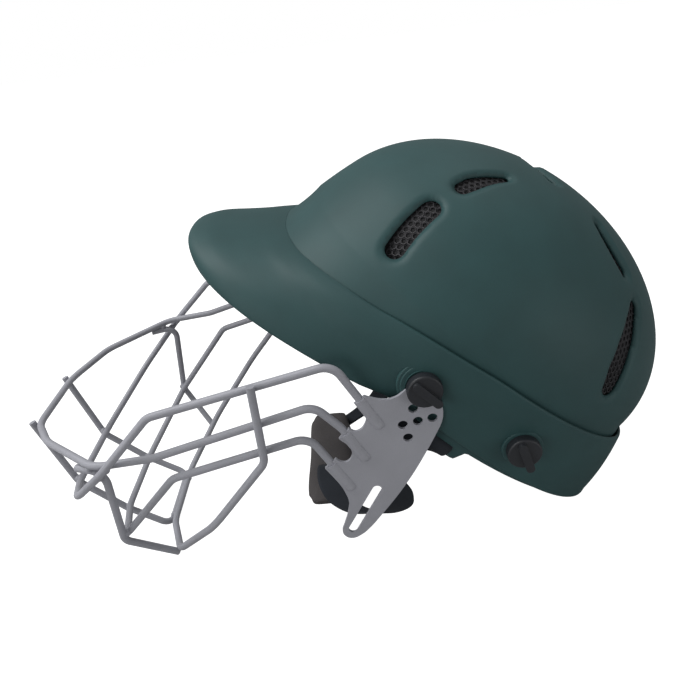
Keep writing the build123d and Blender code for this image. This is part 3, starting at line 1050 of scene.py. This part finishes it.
@dataclass
class Strap:
    """Ribbed webbing from a tab and from inside the skirt, down and under the chin pad.

    Attributes:
        width: Width of the webbing in millimetres.
        thickness: Thickness of the webbing in millimetres.
        loop: Places round a tab's foot, each with its tilt in degrees.
        leg: Places of the short leg that hangs inside the skirt, beside the loop.
        falls: Places from the tab down to the chin pad, for each side.
    """

    width: float = 17.0
    thickness: float = 1.5
    loop: tuple[Quad, ...] = (
        (89.1, -2.5, -56.6, 0), (90.2, -2.5, -58.4, 0), (92.8, -2.5, -58.7, 0), (94.4, -2.5, -60.2, 0),
        (94.5, -3.0, -63.5, 0), (93.6, -3.8, -65.9, -3), (91.2, -6.0, -67.0, -6))
    leg: tuple[Quad, ...] = (
        (88.2, -21.0, -50.0, -4), (87.9, -21.0, -60.0, -4), (87.3, -20.8, -71.0, -5),
        (86.4, -20.0, -83.0, -4))
    falls: tuple[tuple[Quad, ...], ...] = (
        ((89.4, -9.5, -68.6, -9), (88.4, -14.5, -72.0, -12), (87.4, -20.0, -82.0, -12),
         (85.0, -12.0, -98.0, 8), (81.0, 9.0, -110.5, 24), (77.5, 18.0, -123.0, 31),
         (71.0, 16.0, -140.0, 36), (64.0, 7.0, -152.0, 40), (56.0, -3.5, -157.5, 42),
         (49.0, -11.0, -157.0, 42), (41.0, -15.0, -155.5, 42), (31.0, -15.5, -155.0, 42),
         (21.0, -11.5, -159.0, 42)),
        ((89.4, -6.0, -68.6, -4), (88.4, -3.5, -74.0, -2), (87.4, 7.0, -86.0, 4),
         (85.0, 17.0, -101.0, 12), (80.0, 23.0, -117.0, 22), (72.0, 23.0, -133.0, 30),
         (62.0, 16.0, -148.0, 36), (52.0, 7.0, -159.0, 40), (40.0, -1.5, -167.5, 42),
         (27.0, -2.4, -168.9, 42)))

    @staticmethod
    def along(stops: tuple[Quad, ...], share: float) -> tuple[Vector, float]:
        """Follow a smooth curve through the stops.

        Args:
            stops: Places, each with a tilt in degrees.
            share: Share of the way from the first to the last.

        Returns:
            Place and tilt there.
        """
        spot = share * (len(stops) - 1)
        index = min(int(spot), len(stops) - 2)
        step = spot - index
        picks = [stops[min(max(index + offset, 0), len(stops) - 1)] for offset in (-1, 0, 1, 2)]
        before, start, end, after = (Vector(pick[:3]) for pick in picks)
        place = 0.5 * (2 * start + (end - before) * step
                       + (2 * before - 5 * start + 4 * end - after) * step * step
                       + (3 * start - before - 3 * end + after) * step ** 3)
        return place, picks[1][3] + (picks[2][3] - picks[1][3]) * step

    def ribbon(self, stops: tuple[Quad, ...], side: int) -> tuple[bmesh.types.BMesh, float]:
        """Lay webbing along the stops.

        Args:
            stops: Places of its middle line on the left side, each with a tilt.
            side: 1 for the left side, -1 for the right one.

        Returns:
            Its mesh and its length.
        """
        steps = 8 * (len(stops) - 1)
        line = [self.along(stops, index / steps)[0] for index in range(steps + 1)]
        length = sum((second - first).length for first, second in zip(line, line[1:]))

        def place(across: float, down: float) -> Vector:
            """Find a point of the webbing.

            Args:
                across: Share of the way across.
                down: Share of the way along.

            Returns:
                The point.
            """
            spot, tilt = self.along(stops, down)
            way = Vector((0.0, math.cos(math.radians(tilt)), math.sin(math.radians(tilt))))
            spot = spot + way * (across - 0.5) * self.width
            return Vector((side * spot.x, spot.y, spot.z))

        return mapped(8, steps, place), length

    def build(self, made: Materials) -> None:
        """Model the webbing of both sides.

        Args:
            made: Materials by name.
        """
        for (name, side), fall in zip(SIDES, self.falls):
            work, length = self.ribbon(self.loop + fall, side)
            second, leg_length = self.ribbon(self.leg, side)
            extra = bpy.data.meshes.new("leg")
            second.to_mesh(extra)
            second.free()
            work.from_mesh(extra)
            strap = shown(work, f"webbing_{name}", made["strap_web"])
            thicken(strap, self.thickness, offset=0.0)
            declare(strap, "strap_web", node=f"chin_strap_{name}")
            LOG.info("webbing_%s: %.0f mm and a leg of %.0f mm", name, length, leg_length)


@dataclass
class Guard:
    """Weld beads of the wire guard, and the soft edges of the knobs.

    Attributes:
        wires: Nodes of the guard that are wires.
        touch: Gap under which two wires are welded.
        spread: Least distance between two welds.
        bead: Radius of a weld bead.
        knob_edge: Rounding of the knobs.
    """

    wires: tuple[str, ...] = (
        "upper_bar", "middle_bar", "lower_bar", "chin_bar", "strut_left", "strut_right", "chin_hairpin")
    touch: float = 1.1
    spread: float = 7.0
    bead: float = 2.7
    knob_edge: float = 0.5

    def welds(self, frame: dict) -> list[Vector]:
        """Find where two wires lie against each other.


        Returns:
            The places, in metres.
        """
        clouds = {}
        for name in self.wires:
            node = frame["nodes"][name]
            points = [node.matrix_world @ vertex.co for vertex in node.data.vertices]
            tree = KDTree(len(points))
            for index, point in enumerate(points):
                tree.insert(point, index)
            tree.balance()
            clouds[name] = (points, tree)
        found: list[Vector] = []
        for index, first in enumerate(self.wires):
            for second in self.wires[index + 1:]:
                for point in clouds[first][0]:
                    other, _, gap = clouds[second][1].find(point)
                    if gap < self.touch * MM:
                        spot = (point + other) / 2
                        if all((spot - known).length > self.spread * MM for known in found):
                            found.append(spot)
        return found

    def build(self, frame: dict, made: Materials) -> None:
        """Add the weld beads and round the knobs.

        Args:
            made: Materials by name.
        """
        work = bmesh.new()
        spots = self.welds(frame)
        for spot in spots:
            bmesh.ops.create_icosphere(
                work, subdivisions=3, radius=self.bead * MM, matrix=Matrix.Translation(spot))
        level = STAND.matrix.inverted()
        for vertex in work.verts:
            vertex.co = level @ vertex.co
        declare(shown(work, "weld_beads", made["guard_grey"]), "guard_grey", "face_guard")
        LOG.info("welds: %d", len(spots))
        for end in ("front", "rear"):
            for name, _ in SIDES:
                soften(frame["nodes"][f"{end}_knob_{name}"], self.knob_edge)


@dataclass
class Plate:
    """Side plates of the guard: scalloped between the sockets, with spare holes and a slot.

    Attributes:
        inner: How far out the inner face lies, in millimetres.
        thickness: Thickness of the sheet.
        outline: Places back and up from the front screw, and whether the edge has a corner there.
        holes: Places back and up from the front screw, and radii.
        slot: The two ends of the slot's middle line.
        slot_radius: Half width of the slot.
        sockets: Inner ends of the sockets over the bars.
        socket_angle: Direction from a socket's end to its mouth, in degrees.
        socket_length: Length of a socket.
        socket_radius: Half width of a socket.
        socket_rise: Height of a socket as a share of its half width.
        socket_sink: How far a socket's foot lies inside the sheet.
        half_turn: Steps round each end of a slot or half a hole.
        edge: Width of the rounding of the edges.
    """

    inner: float = 99.0
    thickness: float = 1.8
    outline: tuple[tuple[float, float, bool], ...] = (
        (-7.5, -8.5, False), (-7.3, -3.0, False), (-5.5, 3.5, False), (0.5, 6.8, False),
        (7.0, 4.5, False), (12.5, -0.5, False), (19.5, -6.8, False), (23.0, -12.5, False),
        (24.8, -18.0, False), (28.7, -32.0, False), (34.0, -56.0, False), (37.5, -88.0, False),
        (38.0, -100.0, False), (37.2, -107.0, False), (34.5, -112.5, False), (30.5, -114.0, False),
        (26.0, -112.0, False), (23.0, -105.5, False), (20.0, -98.5, False), (14.5, -89.7, False),
        (9.0, -85.5, False), (3.0, -82.3, False), (-5.0, -79.4, False), (-12.0, -77.2, True),
        (-11.0, -67.8, True), (-6.5, -67.7, False), (-4.3, -65.8, False), (-4.0, -62.5, False),
        (-5.5, -59.2, False), (-9.0, -56.5, False), (-18.0, -55.0, True), (-17.5, -45.8, True),
        (-13.5, -45.6, False), (-11.6, -42.5, False), (-11.8, -39.0, False), (-13.5, -35.0, False),
        (-17.5, -31.5, False), (-24.4, -30.8, True), (-23.6, -23.4, True), (-19.5, -22.2, False),
        (-14.5, -20.0, False), (-10.0, -16.0, False))
    holes: tuple[Triple, ...] = (
        (0.0, 0.0, 2.6), (3.8, -14.2, 2.9), (16.6, -12.7, 2.9), (11.3, -19.2, 2.9), (6.0, -26.2, 2.9),
        (14.0, -31.4, 2.9))
    slot: tuple[Pair, Pair] = ((22.8, -72.3), (30.0, -106.2))
    slot_radius: float = 2.9
    sockets: tuple[Pair, ...] = ((-5.2, -34.1), (2.1, -57.1), (8.4, -79.7))
    socket_angle: float = 160.0
    socket_length: float = 20.0
    socket_radius: float = 3.9
    socket_rise: float = 0.8
    socket_sink: float = 0.2
    half_turn: int = 20
    edge: float = 0.35

    def sheet(self) -> bpy.types.Mesh:
        """Fill the outline round its holes, as a flat curve with a thickness.

        Returns:
            The sheet's mesh, flat about zero.
        """
        curve = bpy.data.curves.new("plate", "CURVE")
        curve.dimensions = "2D"
        curve.fill_mode = "BOTH"
        curve.extrude = self.thickness / 2
        curve.resolution_u = 8
        loops = [self.outline, self.rounded(*self.slot, self.slot_radius)]
        loops += [self.rounded((back, up), (back, up), radius) for back, up, radius in self.holes]
        for places in loops:
            spline = curve.splines.new("BEZIER")
            spline.bezier_points.add(len(places) - 1)
            spline.use_cyclic_u = True
            for point, (back, up, corner) in zip(spline.bezier_points, places):
                point.co = (back, up, 0.0)
                point.handle_left_type = point.handle_right_type = "VECTOR" if corner else "AUTO"
        holder = bpy.data.objects.new("plate", curve)
        bpy.context.scene.collection.objects.link(holder)
        graph = bpy.context.evaluated_depsgraph_get()
        mesh = bpy.data.meshes.new_from_object(holder.evaluated_get(graph))
        bpy.data.objects.remove(holder)
        return mesh

    def rounded(self, first: Pair, last: Pair, radius: float) -> list[tuple[float, float, bool]]:
        """List the outline of a slot, or of a round hole where both ends are the same.

        Args:
            first: One end of its middle line.
            last: The other end.
            radius: Half width of the slot.

        Returns:
            Places, each with a corner.
        """
        turn = math.atan2(last[1] - first[1], last[0] - first[0])
        places = []
        for (back, up), start in ((last, turn - math.pi / 2), (first, turn + math.pi / 2)):
            for step in range(self.half_turn + 1):
                angle = start + math.pi * step / self.half_turn
                places.append((back + radius * math.cos(angle), up + radius * math.sin(angle), True))
        return places

    def socket(self, work: bmesh.types.BMesh, end: Pair) -> None:
        """Add a half-round socket that runs from its closed end to the plate's edge.

        Args:
            work: Mesh that gets the socket.
            end: Place of its closed end, back and up from the front screw.
        """
        angle = math.radians(self.socket_angle)
        along = Vector((math.cos(angle), math.sin(angle), 0.0))
        across = Vector((-along.y, along.x, 0.0))
        made = bmesh.ops.create_uvsphere(work, u_segments=32, v_segments=16, radius=self.socket_radius)
        for vertex in made["verts"]:
            width, height, run = vertex.co
            run = self.socket_length if run > 0.01 else run
            height = max(height, 0.0) * self.socket_rise + self.socket_sink - self.thickness / 2
            vertex.co = Vector((*end, height)) + along * run + across * width

    def build(self, made: Materials) -> None:
        """Model both plates and put them in for the plain ones.

        Args:
            made: Materials by name.
        """
        for name, side in SIDES:
            work = bmesh.new()
            work.from_mesh(self.sheet())
            for end in self.sockets:
                self.socket(work, end)
            bmesh.ops.remove_doubles(work, verts=work.verts, dist=0.002)
            for vertex in work.verts:
                back, up, out = vertex.co
                vertex.co = (side * (self.inner + self.thickness / 2 + out), STAND.pivot[0] + back,
                             STAND.pivot[1] + up)
            plate = shown(work, f"scalloped_plate_{name}", made["guard_grey"])
            soften(plate, self.edge)
            declare(plate, "guard_grey", "face_guard", node=f"side_plate_{name}")


@dataclass
class Studio:
    """Floor, lights and camera.

    Attributes:
        eye: The camera's place in the level drawing, in millimetres.
        right: Direction of the picture's right.
        down: Direction of the picture's bottom.
        focus: Focal length in pixels of the picture.
        frame: Width of the picture in pixels.
        sensor: Width of the camera's sensor in millimetres.
        near: Distance from which the camera sees, in metres.
        world: Strength of the light from all round.
        backdrop: Strength at which the camera sees that light.
        floor_size: Half width of the floor, in metres.
        floor_tone: Colour of the floor.
        floor_drop: How far the floor lies below the model's ground, in millimetres.
        aim: Place that the lamps point at.
        lamps: Name, place, size and power of each lamp.
    """

    eye: Triple = (387.9, -184.4, 84.8)
    right: Triple = (0.021, 0.8094, 0.5869)
    down: Triple = (0.4731, 0.5091, -0.719)
    focus: float = 620.0
    frame: float = 690.0
    sensor: float = 36.0
    near: float = 0.02
    world: float = 0.3
    backdrop: float = 1.0
    floor_size: float = 8.0
    floor_tone: Triple = (0.35, 0.35, 0.35)
    floor_drop: float = 2.8
    aim: Triple = (0.0, 0.0, 0.12)
    lamps: tuple[tuple[str, Triple, float, float], ...] = (
        ("key", (0.0, -1.1, 1.75), 1.0, 25.0),
        ("front", (1.3, -1.7, 0.35), 1.3, 11.0),
        ("peak", (-0.5, 0.6, 1.6), 0.8, 3.0),
        ("rear", (1.2, 1.4, 0.1), 0.8, 6.0),
    )

    def camera(self) -> None:
        """Set the camera at the photograph's place."""
        turn = STAND.matrix.to_3x3().normalized()
        right = (turn @ Vector(self.right)).normalized()
        down = (turn @ Vector(self.down)).normalized()
        down = (down - right * down.dot(right)).normalized()
        back = right.cross(-down)
        data = bpy.data.cameras.new("camera")
        data.sensor_width = self.sensor
        data.lens = self.focus / self.frame * self.sensor
        data.clip_start = self.near
        camera = bpy.data.objects.new("camera", data)
        bpy.context.scene.collection.objects.link(camera)
        basis = Matrix((right, -down, back)).transposed().to_4x4()
        camera.matrix_world = Matrix.Translation(STAND.matrix @ Vector(self.eye)) @ basis
        bpy.context.scene.camera = camera

    def floor(self) -> None:
        """Lay the floor, which the camera sees as plain white."""
        mesh = bpy.data.meshes.new("floor")
        work = bmesh.new()
        bmesh.ops.create_grid(work, x_segments=1, y_segments=1, size=self.floor_size)
        work.to_mesh(mesh)
        work.free()
        floor = bpy.data.objects.new("floor", mesh)
        floor.location.z = -self.floor_drop * MM
        bpy.context.scene.collection.objects.link(floor)
        material = bpy.data.materials.new("floor")
        material.use_nodes = True
        tree = material.node_tree
        fill(tree, tree.nodes["Principled BSDF"], {
            "Base Color": (*self.floor_tone, 1.0), "Roughness": 0.95,
            "Emission Color": (1.0, 1.0, 1.0, 1.0),
            "Emission Strength": added(tree, "LightPath", {}).outputs["Is Camera Ray"]})
        mesh.materials.append(material)

    def lights(self) -> None:
        """Hang the soft lights and set the world."""
        world = bpy.data.worlds.new("world")
        world.use_nodes = True
        bpy.context.scene.world = world
        tree = world.node_tree
        seen = added(tree, "MapRange", {
            "Value": added(tree, "LightPath", {}).outputs["Is Camera Ray"],
            "To Min": self.world, "To Max": self.backdrop})
        fill(tree, tree.nodes["Background"], {
            "Color": (1.0, 1.0, 1.0, 1.0), "Strength": seen.outputs["Result"]})
        for name, place, size, power in self.lamps:
            data = bpy.data.lights.new(name, "AREA")
            data.size = size
            data.energy = power
            lamp = bpy.data.objects.new(name, data)
            lamp.location = place
            aim = Vector(self.aim) - lamp.location
            lamp.rotation_euler = aim.to_track_quat("-Z", "Y").to_euler()
            bpy.context.scene.collection.objects.link(lamp)


def main() -> None:
    """Dress the frame, one sub-assembly after another."""
    logging.basicConfig(level=logging.INFO, format="%(name)s: %(message)s")
    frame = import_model()
    bpy.context.scene.view_settings.view_transform = "Standard"
    studio = Studio()
    studio.camera()
    studio.floor()
    studio.lights()
    made = {finish.name: finish.make() for finish in FINISHES}
    slots = {entry["node"]: entry["material_slot"] for entry in frame["record"]["subparts"]}
    for name, node in frame["nodes"].items():
        node.data.materials.clear()
        node.data.materials.append(made[slots[name]])
        for face in node.data.polygons:
            face.use_smooth = True
    Shell().build(made)
    Moulding().build(made)
    Padding().build(frame, made)
    Strap().build(made)
    Guard().build(frame, made)
    Plate().build(made)


if __name__ == "__main__":
    main()
